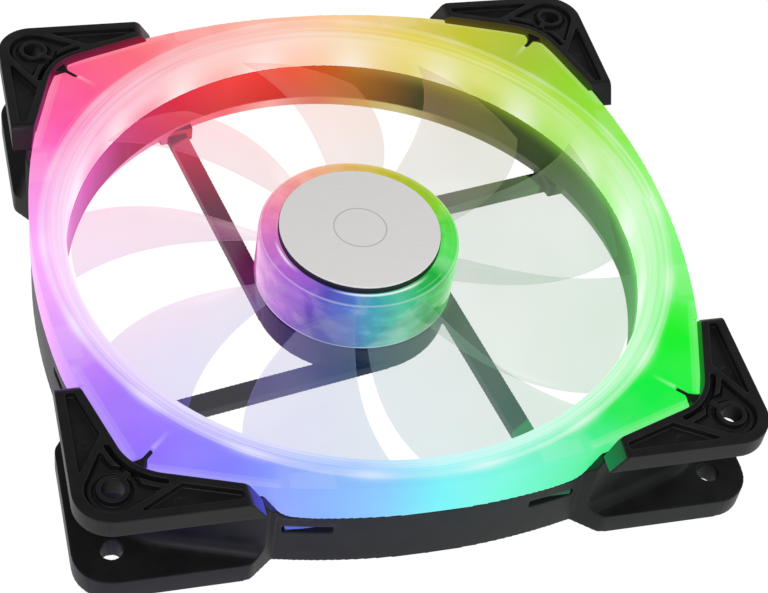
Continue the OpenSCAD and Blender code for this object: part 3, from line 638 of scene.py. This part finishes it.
add_piece("rear_label_disc", lathe("rear_label_disc", rounded_profile(
    [(0, 0.1, 0), (17.3, 0.1, 0.05), (17.3, 0.3, 0.05), (0, 0.3, 0)], 3), 128), "label", "housing", "rear_label")


def blade_mesh(name, count=9, ns=26, nc=18):
    """All blades as closed wings with rounded edges."""
    bm = bmesh.new()
    for b in range(count):
        rows = []
        for i in range(ns + 1):
            s = 0.0 + 1.0 * math.sin(math.pi / 2 * i / ns) ** 0.9 if i else 0.0
            s = min(1.0, s)
            tip = math.sqrt(max(0.0, 1 - max(0.0, (s - 0.972) / 0.028) ** 2))
            loop = []
            for side in (1, -1):
                for j in range(nc + 1) if side > 0 else range(nc - 1, 0, -1):
                    c = 0.5 - 0.5 * math.cos(math.pi * j / nc)
                    nose = math.sqrt(max(0.0, 1 - max(0.0, 1 - min(c, 1 - c) / 0.03) ** 2))
                    th = 1.5 * (1 - 0.35 * s) * (0.42 + 0.58 * math.sqrt(max(0.0, math.sin(math.radians(180 * (0.06 + 0.88 * c))))))
                    a = math.radians(14 * s * s - 4 * s + (31 - 4.5 * s * s) * (c - 0.5) + 360.0 * b / count)
                    z = 9.3 + 0.3 * s + (10.7 + 0.3 * s - 1.6 * s * s) * (c + 0.10 * math.sin(math.pi * c))
                    r = 21.0 + 40.3 * s
                    loop.append(bm.verts.new((r * math.cos(a) * MM, r * math.sin(a) * MM,
                                              (z + side * th / 2 * nose * max(tip, 0.05)) * MM)))
            rows.append(loop)
        m = len(rows[0])
        for i in range(ns):
            for j in range(m):
                bm.faces.new([rows[i][j], rows[i + 1][j], rows[i + 1][(j + 1) % m], rows[i][(j + 1) % m]])
        for end in (rows[0], rows[-1]):
            for j in range(1, nc):
                lo, up = end[(m - j) % m], end[j]
                lo2, up2 = end[(m - j - 1) % m], end[j + 1]
                face = []
                for v in (up, up2, lo2, lo):
                    if v not in face:
                        face.append(v)
                if len(face) > 2:
                    bm.faces.new(face)
            bm.faces.new([end[0], end[1], end[m - 1]])
    bmesh.ops.recalc_face_normals(bm, faces=bm.faces)
    me = bpy.data.meshes.new(name)
    bm.to_mesh(me)
    bm.free()
    return me


add_piece("blades", blade_mesh("blades"), "blade", "rotor", "impeller")


def wire_mesh(name):
    """Three wires in the first arm, with soft bends down to both boards."""
    bm = bmesh.new()
    rad, seg = 0.43, 14
    turn = math.radians(10.4)
    for w in range(3):
        y = 18.1 + 0.9 * w
        b = 0.9
        path = [(3.6, 3.4)]
        path += [(3.6 + b - b * math.cos(t * math.pi / 12), 0.85 + b - b * math.sin(t * math.pi / 12)) for t in range(7)]
        path += [(10 + 6.5 * k, 0.85) for k in range(8)]
        path += [(62.4 - b + b * math.sin(t * math.pi / 12), 0.85 + b - b * math.cos(t * math.pi / 12)) for t in range(7)]
        path += [(62.4, 9.9)]
        rings = []
        for k, (px, pz) in enumerate(path):
            q0 = path[max(0, k - 1)]
            q1 = path[min(len(path) - 1, k + 1)]
            tx, tz = q1[0] - q0[0], q1[1] - q0[1]
            ln = math.hypot(tx, tz)
            tx, tz = tx / ln, tz / ln
            ring = []
            for j in range(seg):
                u = 2 * math.pi * j / seg
                oy, on = rad * math.cos(u), rad * math.sin(u)
                X, Y, Z = px - tz * on, y + oy, pz + tx * on
                ring.append(bm.verts.new(((X * math.cos(turn) - Y * math.sin(turn)) * MM,
                                          (X * math.sin(turn) + Y * math.cos(turn)) * MM, Z * MM)))
            rings.append(ring)
        for k in range(len(rings) - 1):
            for j in range(seg):
                bm.faces.new([rings[k][j], rings[k][(j + 1) % seg], rings[k + 1][(j + 1) % seg], rings[k + 1][j]])
        bm.faces.new(rings[0])
        bm.faces.new(list(reversed(rings[-1])))
    bmesh.ops.recalc_face_normals(bm, faces=bm.faces)
    me = bpy.data.meshes.new(name)
    bm.to_mesh(me)
    bm.free()
    return me


add_piece("ring_link_wires", wire_mesh("ring_link_wires"), "wire", "housing", "link_wires")

# ---------------------------------------------------------------- floor, light, camera
fl = NT("floor")
f0 = fl.noise(3.0, 2.0, 0.5)
fl.set(Base_Color=fl.ramp(f0, [(0.3, (0.11, 0.11, 0.11)), (0.7, (0.13, 0.13, 0.13))]), Roughness=0.9)
fl.p.inputs["Specular IOR Level"].default_value = 0.0
fl.p.inputs["Emission Color"].default_value = (1.0, 1.0, 1.0, 1.0)
fl.p.inputs["Emission Strength"].default_value = 0.95
bm = bmesh.new()
R = 6.0
ring = [bm.verts.new((R * math.cos(t * math.pi / 32), R * math.sin(t * math.pi / 32), -0.0004)) for t in range(64)]
bm.faces.new(ring)
me = bpy.data.meshes.new("floor")
bm.to_mesh(me)
bm.free()
floor = bpy.data.objects.new("floor", me)
me.materials.append(fl.mat)
sc.collection.objects.link(floor)

world = bpy.data.worlds.new("studio")
sc.world = world
world.use_nodes = True
wt = world.node_tree
bg = wt.nodes["Background"]
tc = wt.nodes.new("ShaderNodeTexCoord")
sp = wt.nodes.new("ShaderNodeSeparateXYZ")
wr = wt.nodes.new("ShaderNodeValToRGB")
wt.links.new(tc.outputs["Generated"], sp.inputs[0])
wt.links.new(sp.outputs["Z"], wr.inputs["Fac"])
cr = wr.color_ramp
cr.elements[0].position = 0.0
cr.elements[0].color = (0.95, 0.95, 0.95, 1)
cr.elements[1].position = 0.72
cr.elements[1].color = (0.13, 0.13, 0.13, 1)
el = cr.elements.new(0.30)
el.color = (0.80, 0.80, 0.80, 1)
wt.links.new(wr.outputs["Color"], bg.inputs["Color"])
bg.inputs["Strength"].default_value = 1.0


def area(name, loc, target, size, power, color=(1, 1, 1)):
    d = bpy.data.lights.new(name, "AREA")
    d.shape = "RECTANGLE"
    d.size, d.size_y = size
    d.energy = power
    d.color = color
    o = bpy.data.objects.new(name, d)
    o.location = loc
    o.rotation_mode = "QUATERNION"
    o.rotation_quaternion = (Vector(target) - Vector(loc)).to_track_quat("-Z", "Y")
    sc.collection.objects.link(o)
    return o


area("key", (-0.30, -0.55, 0.80), (0, 0, 0.01), (0.45, 0.35), 4.6)
area("fill", (0.70, -0.10, 0.60), (0, 0, 0.01), (0.4, 0.4), 1.6)

cam = bpy.data.cameras.new("cam")
cam.sensor_width = 36.0
cam.sensor_fit = "HORIZONTAL"
cam.lens = 87.12
cam.clip_start, cam.clip_end = 0.01, 50.0
co = bpy.data.objects.new("cam", cam)
R0 = Vector((0.96369351, -0.23783589, 0.1213627))
R1 = Vector((-0.09669751, -0.73453691, -0.6716436))
R2 = Vector((0.24888633, 0.63552311, -0.73086659))
rot = Matrix((R0, -R1, -R2)).transposed()
co.rotation_mode = "QUATERNION"
co.rotation_quaternion = rot.to_quaternion()
co.location = Vector((-95.963, -266.041, 305.429)) * MM
sc.collection.objects.link(co)
sc.camera = co

sc.view_settings.view_transform = "Standard"
sc.view_settings.look = "None"
sc.view_settings.exposure = 0.0
sc.view_settings.gamma = 1.0
